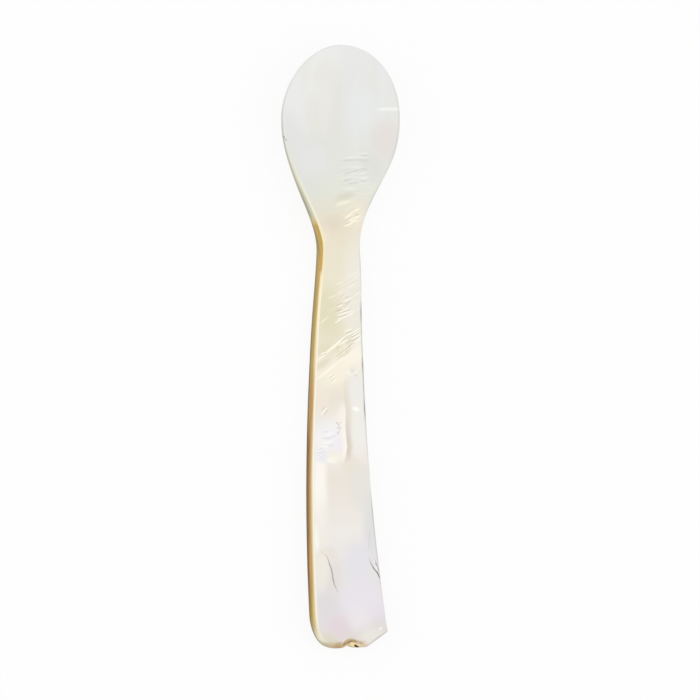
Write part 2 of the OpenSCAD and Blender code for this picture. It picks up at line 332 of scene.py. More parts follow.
def layer_grids():
    """Plan places and the heights of the face, of the bond under the nacre and of the ground
    underside of the golden layer, all on one grid of rows and columns. Where the golden layer
    runs out, the rows bow towards the tip in a squared cosine. More grids mark how near a place
    is to the edges, how deep the scoop has worn it, and how far it is from the lines."""
    u = column_shares(rows)
    off = np.minimum(1, np.abs(rows - rows[golden_row]) / TONGUE_BLEND)
    bow = GOLDEN_TONGUE * np.cos(np.pi / 2 * off) ** 2
    s = rows[:, None] - bow[:, None] * (1 - u * u)
    x, y = plan(s, u)
    gap = outline_gap(s, u)
    raw_face = face_z(s) - hollow(s) * (1 - u * u) ** HOLLOW_POWER - FACE_DROP
    inside = share(*SWELL_GAPS, gap) * share(*SWELL_GAPS, SPOON_LEN - s)
    raw_face = raw_face - ridge_drop(x, y) - crack_drop(x, y)
    raw_face = raw_face + inside * (growth_ripple(x, y) - SWELL_DROP)
    rounded = (round_share(gap, FACE_ROUND, FACE_POWER)
               * round_share(SPOON_LEN - s, FACE_ROUND, FACE_POWER))
    parting = part_z(s, u)
    whole = mix(parting, raw_face, rounded)
    scoop = scoop_z(x, y)
    face = soft_min(whole, scoop, CHIP_SOFTNESS)
    back = back_height(s, u)
    grown = ease(rows[golden_row], rows[golden_row] + GOLDEN_BLEND, rows)[:, None]
    skin = SKIN_T * np.minimum(1, gap / SKIN_GAP)
    bond = np.minimum(mix(back, parting, grown), np.minimum(face, scoop) - skin * (grown > 0))
    bond[:, 0], bond[:, -1], bond[-1], bond[0] = face[:, 0], face[:, -1], face[-1], face[0]
    under = np.minimum(np.maximum(0, back + rind_height(s, u)), bond)
    marks = {
        "left_rim": (1 - rounded) * ease(*RIM_HALF, u),
        "left_gap": gap + FAR_GAP * ease(0, HALFWAY, u),
        "right_gap": gap + FAR_GAP * ease(0, -HALFWAY, u),
        "worn": ease(*WORN_DEPTHS, whole - face),
        "left_crack": beside(x, y, LEFT_CRACK),
        "right_crack": beside(x, y, RIGHT_CRACK),
        "ridge": beside(x, y, RIDGE),
    }
    return s, u, x, y, face, bond, under, marks


def quads(grid):
    """Four-cornered faces between neighbouring rows and columns of a grid of point numbers."""
    corners = grid[:-1, :-1], grid[1:, :-1], grid[1:, 1:], grid[:-1, 1:]
    return np.stack(corners, -1).reshape(-1, 4)


def closed_layer(name, s, u, x, y, upper, lower, pointed, marks):
    """Piece between two height grids that share their outer rows and columns. Faces of the upper
    grid run one way round and those of the lower grid the other, so all point outwards. A
    pointed layer's first row is one point."""
    def both(a, b):
        """Values of the upper grid, and then of the lower one's inner places."""
        return np.concatenate((a.ravel(), b[1:-1, 1:-1].ravel()))

    count, across = x.shape
    top = np.arange(x.size).reshape(x.shape)
    if pointed:
        top[0] = top[0, 0]
    low = top.copy()
    low[1:-1, 1:-1] = x.size + np.arange((count - 2) * (across - 2)).reshape(count - 2, -1)
    x_upper, x_lower = x + lean(s, u, upper), x + lean(s, u, lower)
    points = np.stack((both(x_upper, x_lower), both(y, y), both(upper, lower)), -1) * MM
    faces = np.concatenate((quads(top), quads(low)[:, ::-1]))
    marks = {mark: both(a, b) for mark, (a, b) in marks.items()}
    return make_piece(name, points, faces, marks)


def make_piece(name, points, faces, marks):
    """Piece from points, four-cornered faces and marks on the points. A corner that a face repeats
    is dropped, which turns the faces at a point into triangles, and points that no face uses are
    left out."""
    order = np.sort(faces, axis=1)
    whole = (np.diff(order, axis=1) > 0).all(axis=1)
    narrow = [list(dict.fromkeys(corners)) for corners in faces[~whole].tolist()]
    narrow = np.array([corners for corners in narrow if len(corners) == 3], int)
    corners = np.concatenate((faces[whole].ravel(), narrow.ravel()))
    sizes = np.repeat((4, 3), (whole.sum(), len(narrow)))
    used, corners = np.unique(corners, return_inverse=True)
    mesh = bpy.data.meshes.new(name)
    mesh.vertices.add(len(used))
    mesh.vertices.foreach_set("co", points[used].astype(np.float32).ravel())
    mesh.loops.add(len(corners))
    mesh.loops.foreach_set("vertex_index", corners.astype(np.int32))
    mesh.polygons.add(len(sizes))
    mesh.polygons.foreach_set("loop_start", (np.cumsum(sizes) - sizes).astype(np.int32))
    mesh.update(calc_edges=True)
    mesh.validate()
    for mark, values in marks.items():
        attribute = mesh.attributes.new(mark, "FLOAT", "POINT")
        attribute.data.foreach_set("value", values[used].astype(np.float32))
    mesh.shade_smooth()
    mesh.set_sharp_from_angle(angle=SHARP_EDGE)
    piece = bpy.data.objects.new(name, mesh)
    bpy.context.scene.collection.objects.link(piece)
    return piece


def rind_columns(s):
    """Shares of the width across the two strips of rind at each row, and whether the strips join
    there. In each strip they run from the flank, close together over the rounding, to the line
    where the ground flat cuts the rind, and on to where it cuts right through. Both lines follow
    from the parabola of the back: u squared times its crown is the height ground away."""
    ground = GROUND_DEPTH - BUTT_RISE * bend(s)
    half = (right_x(s) - left_x(s)) / 2
    cut = np.sqrt(np.maximum(0, ground) / BACK_CROWN)
    middle = rind_height(s, np.zeros(s.shape))
    through = np.sqrt(np.maximum(0, ground - middle) / BACK_CROWN)
    near = np.linspace(0, 1, RIND_NEAR_COLUMNS + 1) ** RIND_PACKING
    far = np.linspace(0, 1, RIND_FAR_COLUMNS + 1)[1:]
    sides = []
    for edge in (left_x, right_x):
        gap = RIND_GAPS[0] * BACK_ROUND / (half * slant(edge, s))
        outer = np.sqrt(1 - 2 * gap)
        flat = np.maximum(cut, mix(through, outer, LEAST_FAR))
        sides.append(np.concatenate((mix(outer[:, None], flat[:, None], near),
                                     mix(flat[:, None], through[:, None], far)), axis=1))
    return np.concatenate((-sides[0], sides[1][:, ::-1]), axis=1), through == 0


def rind_strips():
    """The rind left on the back after grinding: two strips along the flanks, which join across the
    butt. Each lies between the back and the back plus the rind's thickness, where that is above
    the ground, and its two surfaces share their outer rows and columns."""
    s = rows[(rows > RIND_FROM + RIND_ROW_GAP) & (rows <= SPOON_LEN - RIND_BUTT_GAPS[0])]
    s = np.concatenate(([RIND_FROM], s))
    u, joined = rind_columns(s)
    s = np.broadcast_to(s[:, None], u.shape)
    x, y = plan(s, u)
    back = back_height(s, u)
    top_z, low_z = np.maximum(0, back + rind_height(s, u)), np.maximum(0, back)
    count, across = u.shape
    mid = across // 2
    top = np.arange(u.size).reshape(u.shape)
    top[joined, mid] = top[joined, mid - 1]
    low = top + u.size
    for row, column in ((0, slice(None)), (-1, slice(None)), (slice(None), 0), (slice(None), -1),
                        (~joined, mid - 1), (~joined, mid)):
        low[row, column] = top[row, column]
    points = np.stack([np.concatenate((a.ravel(), b.ravel()))
                       for a, b in ((x + lean(s, u, top_z), x + lean(s, u, low_z)), (y, y),
                                    (top_z, low_z))], -1) * MM
    cells = np.ones((count - 1, across - 1), bool)
    cells[~joined[1:], mid - 1] = False
    cells = cells.ravel()
    faces = np.concatenate((quads(top)[cells], quads(low)[cells][:, ::-1]))
    return make_piece("brown_edge", points, faces, {})


# Gaps from the outline between which the underside of the nacre starts to count as its back
BACK_GAPS = (0.3, 1.0)


def shell_layers():
    """The nacre, and the golden layer under it from the row where that starts, with the marks that
    their materials read: each mark's grid on the upper surface and on the lower one."""
    s, u, x, y, face, bond, under, marks = layer_grids()
    behind = np.broadcast_to(rows[:, None] - rows[golden_row], x.shape)
    marks = {mark: (values, values) for mark, values in marks.items()}
    marks["back"] = (np.zeros(x.shape), ease(*BACK_GAPS, outline_gap(s, u)))
    marks["behind"] = (behind, behind)
    nacre = closed_layer("carved_nacre", s, u, x, y, face, bond, True, marks)
    s, u, x, y, bond, under, behind = [grid[golden_row:]
                                       for grid in (s, u, x, y, bond, under, behind)]
    flank = [share(edge_z(s), face_z(s), height) for height in (bond, under)]
    marks = {"flank": flank, "behind": (behind, behind)}
    golden = closed_layer("golden_shell", s, u, x, y, bond, under, False, marks)
    return nacre, golden


nacre, golden = shell_layers()
rind = rind_strips()


def colour(code):
    """Linear colour of an sRGB hex code."""
    c = np.array([int(code[i:i + 2], 16) for i in (1, 3, 5)]) / 255
    c = np.where(c <= 0.04045, c / 12.92, ((c + 0.055) / 1.055) ** 2.4)
    return (*c.tolist(), 1.0)


# Sockets of a Mix node that blends colours: its factor, the two colours and the result
FACTOR, FIRST, SECOND, BLENDED = 0, 6, 7, 2


def add(tree, kind, inputs=(), stops=(), **settings):
    """Adds a shader node with its settings, links or sets its inputs, and colours its stops."""
    node = tree.nodes.new("ShaderNode" + kind)
    for name, value in settings.items():
        setattr(node, name, value)
    for key, value in dict(inputs).items():
        if isinstance(value, bpy.types.NodeSocket):
            tree.links.new(value, node.inputs[key])
        else:
            node.inputs[key].default_value = value
    for i, (position, code) in enumerate(stops):
        elements = node.color_ramp.elements
        stop = elements[i] if i < 2 else elements.new(position)
        stop.position, stop.color = position, colour(code)
    return node


def new_material(name):
    """Empty material and its node tree."""
    material = bpy.data.materials.new(name)
    material.use_nodes = True
    material.node_tree.nodes.clear()
    return material, material.node_tree


def places(tree):
    """Places on the piece in millimetres, and how far up the spoon from its middle they are."""
    place = add(tree, "Mapping", {"Vector": add(tree, "TexCoord").outputs["Object"],
                                  "Scale": (1 / MM, 1 / MM, 1 / MM)}).outputs[0]
    return place, add(tree, "SeparateXYZ", {0: place}).outputs["Y"]


def coat(tree, tint, code, value, start, whole, strength=1.0):
    """Lays a colour over a tint: by a smooth step of a value, from where the coat starts to where it
    is whole, times a strength, which may be another mask."""
    mask = add(tree, "MapRange", {"Value": value, "From Min": start, "From Max": whole,
                                  "To Max": strength}, interpolation_type="SMOOTHSTEP")
    return add(tree, "Mix", {FACTOR: mask.outputs[0], FIRST: tint, SECOND: colour(code)},
               data_type="RGBA").outputs[BLENDED]


def coats(tree, tint, table, values):
    """Lays the coats of a table over a tint in their order. A row has the colour, the name of the
    value that the coat follows, where on it the coat starts and is whole, and the coat's strength or
    the name of the mask that it lies in."""
    for code, value, start, whole, strength in table:
        strength = values.get(strength, strength)
        tint = coat(tree, tint, code, values[value], start, whole, strength)
    return tint


def stretches(tree, value, table, masks=()):
    """Masks by name, added to those given. Each rises evenly over a value, mostly the place along
    the spoon in mm, from where it starts to where it is whole, up to a strength or another mask."""
    masks = dict(masks)
    for name, (start, whole, within) in table.items():
        rise = add(tree, "MapRange", {"Value": value, "From Min": start, "From Max": whole,
                                      "To Max": masks.get(within, within)})
        masks[name] = rise.outputs[0]
    return masks


# Depth of ovals and arcs in mm, so great that the height of a place doesn't count
DEEP = 1000.0


def oval(tree, place, centre, size, turn=0.0):
    """Cone over an oval: 1 in the middle and 0 at its half length and half width in mm."""
    local = add(tree, "Mapping", {
        "Vector": place, "Location": (*centre, 0), "Rotation": (0, 0, math.radians(turn)),
        "Scale": (*size, DEEP)}, vector_type="TEXTURE")
    return add(tree, "TexGradient", {"Vector": local.outputs[0]},
               gradient_type="SPHERICAL").outputs["Fac"]


def patches(tree, place, tint, table):
    """Lays soft ovals over a tint. A row has the centre, half length and half width in mm, turn in
    degrees, colour, strength, and how far up its cone an oval is whole."""
    for centre, size, turn, code, strength, whole in table:
        cone = oval(tree, place, centre, size, turn)
        tint = coat(tree, tint, code, cone, 0.0, whole, strength)
    return tint


def strokes(tree, place, lines, width, reach):
    """Short straight strokes: a thin oval, of a half width in mm, along each line from its first
    to its second end, and the highest of them at each place. Half an oval's length is a reach
    times its line's."""
    mask = 0.0
    for x0, y0, x1, y1 in lines:
        run = (math.hypot(x1 - x0, y1 - y0) * reach, width)
        turn = math.degrees(math.atan2(y1 - y0, x1 - x0))
        one = oval(tree, place, ((x0 + x1) / 2, (y0 + y1) / 2), run, turn)
        mask = add(tree, "Math", {0: one, 1: mask}, operation="MAXIMUM").outputs[0]
    return mask


def drawn(tree, place, tint, table, whole=0.6, reach=0.8):
    """Lays sets of strokes over a tint. A row has the lines, their half width in mm, colour and
    strength, and all are whole from the same share of the way up their cones."""
    for lines, width, code, strength in table:
        mask = strokes(tree, place, lines, width, reach)
        tint = coat(tree, tint, code, mask, 0.0, whole, strength)
    return tint


def grain(tree, place, length, width, turn=0.0, detail=2.0, shift=0.0):
    """Cloudy noise drawn out into streaks of a length and width in mm."""
    local = add(tree, "Mapping", {
        "Vector": place, "Location": (shift, shift, shift), "Rotation": (0, 0, math.radians(turn)),
        "Scale": (length, width, max(length, width))}, vector_type="TEXTURE")
    return add(tree, "TexNoise", {"Vector": local.outputs[0], "Scale": 1.0, "Detail": detail})


def adrift(tree, place, size, reach):
    """Places moved about by slow noise of a size in mm, by up to half the reach in mm each way."""
    drift = grain(tree, place, size, size).outputs["Color"]
    drift = add(tree, "VectorMath", {0: drift, 1: (0.5, 0.5, 0.5)}, operation="SUBTRACT")
    return add(tree, "VectorMath", {0: drift.outputs[0], 1: reach, 2: place},
               operation="MULTIPLY_ADD").outputs[0]


# Lines of growth on a flank: their size across, along and up in mm, and detail. The real layers are far
# thinner, and they are drawn coarser so that they show.
LAYER_SIZE, LAYER_DETAIL = (3.0, 14.0, 0.25), 3.0


def layer_lines(tree, place):
    """Thin uneven lines along the spoon, where a flank cuts the layers of the shell."""
    local = add(tree, "Mapping", {"Vector": place, "Scale": LAYER_SIZE}, vector_type="TEXTURE")
    noise = add(tree, "TexNoise", {"Vector": local.outputs[0], "Scale": 1.0, "Detail": LAYER_DETAIL})
    return noise.outputs["Fac"]


# Index of refraction of shell
SHELL_IOR = 1.53


def shell_surface(tree, tint, height, relief, gloss):
    """Ends a material with its shader: the tint, the gloss, and a fine relief of a depth in mm."""
    bump = add(tree, "Bump", {"Strength": 1.0, "Distance": relief * MM, "Height": height})
    shader = add(tree, "BsdfPrincipled", {"Base Color": tint, "IOR": SHELL_IOR,
                                          "Normal": bump.outputs[0], **gloss})
    add(tree, "OutputMaterial", {"Surface": shader.outputs[0]})


# Streaks of noise in the shell: length and width in mm, turn in degrees, detail and shift
BOWL_BANDS = (3.0, 30.0, 0.0, 1.0, 0.0)
FINE_LINES = (2.4, 0.22, 33.0, 1.5, 0.0)
BOWL_WAVES = (4.0, 0.42, 8.0, 1.0, 3.0)
CRACK_WANDER = (0.5, 0.5, 0.0, 2.0, 0.0)
BACK_BANDS = (2.6, 16.0, 8.0, 2.0, 4.0)
GROUND_STREAKS = (2.2, 18.0, 4.0, 1.5, 0.0)
RIND_BANDS = (26.0, 3.0, 14.0, 2.0, 0.0)
RIND_LINES = (16.0, 0.6, 14.0, 1.0, 5.0)
RUBBED_PLACES = (2.0, 6.0, 0.0, 2.0, 9.0)
# Drift of the patterns: size of its noise, and its reach across, along and up, in mm
NACRE_DRIFT = (7.0, (1.6, 2.4, 0.0))
SHELL_DRIFT = (9.0, (3.0, 7.0, 0.0))
# How far streaks of noise move the side of a crack, the start of the gold on the bowl's back and the
# rind's worn end, in mm
CRACK_REACH, GOLD_REACH, RUBBED_REACH = 0.14, 8.0, 8.0

# Tints of the nacre's growth zones along the spoon, each with its place from the middle in mm
ZONES = ((55, "#e9e9e8"), (38, "#e6e6e2"), (28.5, "#e5e6da"), (22, "#eae0c9"), (13, "#ebe5cd"),
         (5, "#e6dfc2"), (-1.5, "#ece5cf"), (-4.4, "#f5eddb"), (-9.5, "#ebe3d4"), (-17, "#f3efec"),
         (-24, "#ebe3d7"), (-34, "#eeeae4"), (-42, "#e7e3e0"), (-49, "#e5dde1"), (-55, "#ded6cb"))
# Soft patches of tint: centre, half length and half width in mm, turn in degrees, colour, strength. All
# are whole from the same share of the way up their cones.
PATCH_WHOLE = 0.75
BOWL_PATCHES = (
    ((-1.8, 44.0), (4.6, 12.4), 0, "#e5e4dc", 0.8),
    ((-8.9, 41.9), (3.5, 11.0), 0, "#e8e8e9", 0.6),
    ((4.9, 43.3), (4.7, 7.3), 0, "#e8ebea", 0.8),
    ((9.0, 37.8), (3.4, 5.4), 0, "#e5ded9", 0.8),
    ((-4.0, 37.2), (2.6, 5.1), 0, "#e2e1db", 0.7),
    ((6.4, 33.0), (3.2, 4.4), 0, "#e0e0da", 0.7),
    ((-6.1, 29.1), (2.8, 2.9), 0, "#e4e6de", 0.6),
    ((1.2, 27.2), (2.6, 1.0), 20, "#d9d5c0", 0.65),
    ((1.0, 26.0), (2.4, 0.5), 12, "#f7f3df", 0.8),
    ((-5.4, 33.9), (5.4, 4.6), 0, "#e9e9ea", 0.8),
    ((-4.6, 42.6), (2.8, 4.6), 0, "#e2e0d6", 0.6),
    ((-2.8, 49.8), (3.4, 3.2), 0, "#e3e2d8", 0.6),
    ((-1.3, 22.5), (3.0, 2.4), 0, "#e4d7c2", 0.7),
    ((3.1, 24.1), (2.4, 3.3), 0, "#f0ead7", 0.7),
)
HANDLE_PATCHES = (
    ((3.2, 9.9), (3.9, 15.3), 0, "#efeadf", 0.95),
    ((-2.3, 6.6), (3.4, 6.9), 0, "#e2dcbd", 0.9),
    ((3.6, -1.1), (2.4, 2.9), 0, "#f6f5ec", 0.8),
    ((-3.3, -3.5), (2.6, 0.9), 34, "#e4dac2", 0.85),
    ((-3.0, -0.6), (2.6, 1.8), 34, "#e2d9bb", 0.6),
    ((1.9, -2.9), (5.5, 3.3), 34, "#fdf5e5", 0.95),
    ((3.9, 1.5), (1.3, 1.0), 34, "#faf8ee", 0.6),
    ((-0.1, -4.9), (5.1, 2.4), 22, "#f8f0de", 0.9),
    ((3.6, -8.0), (2.8, 5.5), 0, "#efede8", 0.9),
    ((3.0, -4.5), (1.2, 1.3), 0, "#e6e3d8", 0.35),
    ((-3.4, -9.1), (1.8, 3.7), 0, "#f4e8d9", 0.6),
    ((4.2, -14.2), (3.0, 8.0), 0, "#f0eee7", 0.9),
    ((-1.5, -16.4), (5.1, 4.0), 0, "#f3f1f2", 0.95),
    ((0.7, -12.9), (1.8, 3.1), -20, "#faf0e8", 0.85),
    ((0.1, -17.9), (1.7, 1.5), 0, "#f3eaf5", 0.5),
    ((-3.9, -19.6), (2.0, 2.6), 0, "#e4e5f0", 0.85),
    ((-0.9, -20.2), (2.6, 1.6), 0, "#f7f4e3", 0.8),
    ((-3.8, -25.1), (2.2, 11.3), 0, "#fdf9f1", 0.95),
    ((2.6, -21.6), (2.6, 2.6), 0, "#eae0d0", 0.7),
    ((3.4, -11.5), (0.95, 0.6), 0, "#fffef9", 0.95),
    ((4.6, -25.6), (3.4, 6.2), 0, "#e4e3dc", 0.9),
)
BUTT_PATCHES = (
    # Painted highlight: a white strip along the left edge, next to the gold
    ((-4.6, -35.0), (0.9, 3.6), 0, "#fffff8", 0.9),
    ((6.3, -33.6), (2.6, 9.1), 0, "#dfdede", 0.9),
    ((-3.4, -33.1), (2.4, 8.4), 0, "#f1ede3", 0.6),
    ((-2.2, -38.0), (2.4, 1.8), 0, "#e5dccf", 0.5),
    ((-1.3, -42.1), (2.2, 4.4), -14, "#e2dcd7", 0.7),
    ((3.7, -39.4), (4.4, 6.4), 0, "#e4e1e8", 0.85),
    ((-3.6, -40.7), (1.8, 5.1), 0, "#f0eadd", 0.85),
    ((4.4, -46.4), (6.7, 5.5), 0, "#e8e4ec", 0.85),
    ((-2.4, -47.3), (3.5, 4.0), 0, "#dedadb", 0.8),
    ((-0.2, -50.6), (3.2, 2.9), 0, "#e2d4da", 0.8),
    ((3.7, -49.5), (3.9, 3.3), 0, "#ece6e8", 0.8),
    ((6.4, -53.1), (4.2, 2.6), 0, "#e9e6df", 0.9),
    ((-3.0, -53.3), (3.2, 1.8), 0, "#dcd8c4", 0.9),
    ((-0.7, -54.4), (3.5, 1.3), 0, "#d3c4a8", 0.9),
)
# Single strokes, from end to end in mm: bright growth lines at the neck, and thin, faint and wide ones
# on the handle, with the thin dark gaps between them. Their brightness and darkness are partly the
# layers' own tone and partly painted highlight and shade of the lines' fine steps
NECK_LINES = ((1.3, 23.5, 2.7, 24.6), (2.7, 24.6, 3.9, 25.2), (1.9, 23.1, 2.9, 23.6),
              (2.9, 23.5, 3.9, 23.9), (1.0, 22.0, 2.6, 22.6), (2.3, 22.9, 3.5, 22.9))
THIN_LINES = (
    (1.1, 8.2, 2.6, 9.1), (-0.3, 6.2, 2.1, 7.1), (0.5, 6.0, 2.7, 6.6), (-0.5, 5.7, 1.3, 6.1),
    (0.5, 5.1, 2.9, 6.2), (-0.9, 4.3, 0.5, 5.1), (1.0, 2.7, 2.7, 3.3), (1.5, 2.0, 2.6, 2.5),
    (2.6, 2.5, 4.2, 3.4), (2.4, 1.9, 4.2, 3.0), (2.2, 1.3, 4.2, 2.3), (-2.0, -5.5, -1.2, -4.9),
    (-1.6, -6.0, -0.7, -5.3), (-1.6, -6.7, -0.5, -5.8), (-3.6, -12.5, -2.4, -11.1),
    (1.3, -4.4, 2.4, -5.3), (2.9, -4.9, 3.6, -4.5), (-0.3, 5.0, 1.3, 5.6), (-0.4, 7.2, 0.7, 7.7),
    (3.0, 0.8, 4.2, 1.5), (-0.5, 0.7, 1.2, 1.9), (-3.6, -1.4, -2.6, -1.0), (-0.2, 0.1, 1.7, 1.3))
FAINT_LINES = ((-2.1, 8.8, -0.5, 9.4), (-0.5, 9.4, 0.9, 10.5), (-3.6, 4.3, -2.1, 5.4),
               (1.9, 10.8, 3.1, 11.5), (-0.5, 11.3, 0.7, 11.8))
WIDE_LINES = ((-4.1, -2.4, 1.3, 1.8), (-4.1, -5.8, 0.1, -2.7))
DARK_LINES = (
    (-0.6, -1.9, 1.0, -0.7), (0.9, -0.8, 2.4, 0.3), (-0.5, -2.4, 1.2, -1.1), (1.1, -1.1, 2.6, -0.1),
    (0.6, -1.9, 2.4, -0.6), (-0.7, 6.3, 0.7, 6.8), (-0.5, 6.6, 0.6, 6.9), (0.5, 6.2, 2.3, 6.8),
    (1.4, 2.4, 2.6, 2.9), (2.7, 2.2, 4.1, 3.1), (2.5, 1.6, 4.1, 2.6), (2.6, 1.0, 4.1, 1.9),
    (-0.7, -0.3, 0.7, 0.8), (-0.5, 7.5, 0.9, 8.1), (-0.1, 5.3, 1.7, 5.9), (0.8, 8.6, 2.1, 9.3),
    (0.9, 7.7, 2.3, 8.3), (2.4, -4.2, 2.9, -4.5), (3.0, -5.4, 3.6, -5.2), (-3.5, -11.7, -2.7, -10.9),
    (-3.1, -12.5, -2.0, -11.4), (-1.9, -5.8, -1.1, -5.1), (-1.6, -6.4, -0.7, -5.6),
    (-3.4, -1.6, -2.3, -1.1), (0.2, 0.9, 2.2, 2.2), (1.2, 0.4, 2.7, 1.4), (1.7, 0.0, 2.7, 0.7),
    (1.8, 23.3, 2.6, 23.7), (3.0, 23.9, 3.8, 24.3), (1.1, 22.3, 2.0, 22.7))
# Specks on the handle, a tick on the bowl's left rim, glints and a branch of the right crack, a faint
# line by the right edge, and in the chip a dark arch of painted shade and a bright crescent
SPECKS = ((-0.6, -13.8, -0.2, -14.0), (-0.2, -14.0, 0.0, -14.5), (0.25, -13.7, 0.35, -14.0),
          (-0.45, -14.9, 0.0, -14.7), (0.1, -15.2, 0.4, -14.6), (-0.3, -16.0, -0.1, -15.4))
RIM_TICK = ((-11.3, 38.1, -11.2, 37.7), (-11.0, 37.6, -10.8, 37.3))
CRACK_GLINT = ((6.8, -39.1, 6.9, -39.6), (7.0, -40.2, 7.3, -40.8))
EDGE_LINE = ((6.0, -33.6, 5.75, -36.8),)
BRANCH = ((6.9, -39.1, 7.3, -40.3), (7.3, -40.3, 7.9, -41.4), (7.9, -41.9, 8.3, -43.2))
ARCH = ((0.2, -54.6, 1.5, -54.0), (1.4, -54.1, 2.6, -53.7), (2.5, -53.7, 3.5, -53.8),
        (3.4, -53.8, 4.4, -54.3))
CRESCENT = ((2.2, -54.1, 3.0, -54.25), (2.9, -54.2, 3.8, -54.6))
# Wavy lines across the lower right of the bowl, a soft bright line at its right, and lines across the
# pale patch of the handle
BOWL_DARK = ((4.6, 35.0, 5.8, 35.0), (1.5, 34.1, 3.7, 34.2), (3.5, 34.2, 5.7, 34.1),
             (1.4, 31.5, 3.0, 32.0), (2.9, 32.0, 4.3, 32.4), (4.2, 32.4, 5.6, 32.5),
             (1.3, 30.3, 2.7, 30.8), (2.0, 29.8, 3.8, 30.0), (4.2, 30.3, 5.5, 30.4))
BOWL_BRIGHT = ((4.5, 35.3, 5.8, 35.4), (1.8, 34.6, 3.9, 34.7), (3.7, 34.7, 5.8, 34.8),
               (2.7, 32.8, 5.1, 33.0), (1.5, 30.8, 3.4, 31.3), (4.0, 31.5, 5.6, 31.9),
               (4.4, 30.8, 5.6, 30.8), (1.6, 29.9, 3.2, 30.2), (1.4, 28.9, 3.2, 29.0))
BOWL_LINE = ((7.6, 43.5, 12.0, 43.6),)
PALE_DARK = ((-3.6, -17.0, -1.4, -16.9), (-1.5, -16.9, -0.6, -16.5), (-4.4, -19.3, -2.8, -19.0),
             (-4.2, -18.7, -3.0, -18.4), (-3.4, -16.0, -2.2, -15.8), (-2.2, -18.1, -1.0, -17.9))
PALE_BRIGHT = ((-3.6, -17.7, -1.2, -17.4), (-3.0, -16.5, -1.2, -16.2), (-3.8, -18.3, -2.2, -18.2),
               (-2.6, -20.5, -0.6, -20.2), (-2.4, -20.9, -0.4, -20.7))
# Grey stretches of painted shade along the right edge: centre, half size across and along in mm,
# colour. The shaded line starts and is whole at these gaps from the outline.
RIGHT_SHADE_GAPS = (0.6, 0.25)
RIGHT_EDGE_SHADE = (
    ((11.0, 37.0), (6.0, 16.0), "#d6d5d0"), ((5.9, 27.3), (3.0, 5.0), "#cac8be"),
    ((3.8, 14.6), (2.5, 5.0), "#cdc9be"), ((5.0, -6.0), (4.0, 20.0), "#a6a6a0"),
    ((4.1, 6.2), (2.5, 2.4), "#767773"), ((4.7, -3.4), (2.5, 1.7), "#70716e"),
    ((5.2, -11.5), (2.5, 2.2), "#6c6d68"), ((6.5, -30.6), (3.0, 5.0), "#b3b3af"),
    ((8.2, -37.0), (4.0, 13.0), "#b8b8b4"), ((7.2, -53.2), (6.0, 3.0), "#b4b3aa"))
# Clusters of fine growth lines: centre, half length, half width in mm, turn in degrees
CLUSTERS = (((1.6, 8.0), (4.6, 3.6), 33), ((1.6, 0.9), (5.6, 2.6), 34),
            ((2.8, 23.4), (2.6, 2.2), 33), ((3.0, 12.4), (2.6, 1.8), 33))
# Patches of wavy lines in the bowl and of arcs on the handle: centre, half length, half width in mm.
# The arcs have a centre and a gap in mm and a distortion. At the scale given here the wave texture
# makes one ring per unit.
WAVE_PATCH, ARC_PATCH = ((3.6, 31.4), (4.2, 5.4)), ((-3.4, -20.2), (1.5, 1.3))
ARC_CENTRE, ARC_GAP, ARC_DISTORTION, ONE_RING = (-4.6, -21.4), 0.42, 1.2, math.tau / 20
# Sets of strokes in the order they are laid: lines, half width in mm, colour, strength. The fine ones
# are whole lower on their cones and have less reach.
PALE_STROKES = ((PALE_DARK, 0.24, "#e2e0e4", 0.6), (PALE_BRIGHT, 0.24, "#fffdf8", 0.6))
FACE_STROKES = (
    (BOWL_BRIGHT, 0.34, "#f0f0ed", 0.6), (BOWL_DARK, 0.26, "#d2d2cd", 0.6),
    (WIDE_LINES, 0.34, "#fff8e4", 1.0), (NECK_LINES, 0.26, "#fff6df", 1.0),
    (FAINT_LINES, 0.22, "#f9f1da", 0.75), (SPECKS, 0.2, "#cdbeae", 0.7),
    (BOWL_LINE, 0.5, "#f3f3f1", 1.0))
# The fine bright lines and dark gaps are partly painted highlight and shade of their steps
FINE_STROKES = ((DARK_LINES, 0.1, "#c9ba9a", 0.6), (THIN_LINES, 0.12, "#fffdf3", 1.0))
FINE_WHOLE, FINE_REACH = 0.35, 0.6
FLAW_STROKES = ((BRANCH, 0.14, "#7c7773", 0.75), (CRACK_GLINT, 0.16, "#fdfdfd", 0.8),
                (EDGE_LINE, 0.3, "#cccbca", 0.35), (RIM_TICK, 0.16, "#77766e", 0.8))
# The chip's dark arch is painted shade under its upper lip
ARCH_SHADE_STROKES = ((ARCH[:2], 0.42, "#6f532b", 0.75), (ARCH[2:], 0.36, "#86693f", 0.5))
ARCH_WHOLE = 0.9
CRESCENT_STROKES = ((CRESCENT, 0.2, "#fdecb8", 0.9),)

# Stretches along the spoon, for the function stretches: where each starts and is whole in mm, and its
# strength or the stretch that it lies in
FOOT = (-53.3, -54.4, 0.8)
BAND_STRETCHES = {"bowl": (22.0, 34.0, 0.6)}
FLAW_STRETCHES = {
    "ridge_end": (-21.4, -19.4, 1.0), "ridge_length": (-4.5, -17.0, "ridge_end"),
    "highlight_length": (-9.0, -13.5, "ridge_length"), "left_end": (-45.4, -42.4, 1.0),
    "left_length": (-36.8, -39.8, "left_end"), "right_end": (-43.6, -42.8, 1.0),
    "right_length": (-38.4, -41.2, "right_end")}
LEFT_STRETCHES = {
    "bowl": (20.0, 22.5, 1.0), "gold": (24.0, 22.0, 1.0), "handle": (14.0, 10.5, 1.0),
    "low": (-18.0, -30.0, 1.0), "corner": (-50.0, -53.0, 1.0), "line": (50.0, 33.0, "bowl"),
    "olive": (37.0, 27.0, "bowl"), "neck": (15.0, 18.0, "gold"), "band": (8.0, 11.5, "gold"),
    "cream": (-8.0, 6.0, "handle"), "orange": (19.0, 16.0, "band"), "narrowing": (19.0, 10.0, 0.5),
    "foot": FOOT}
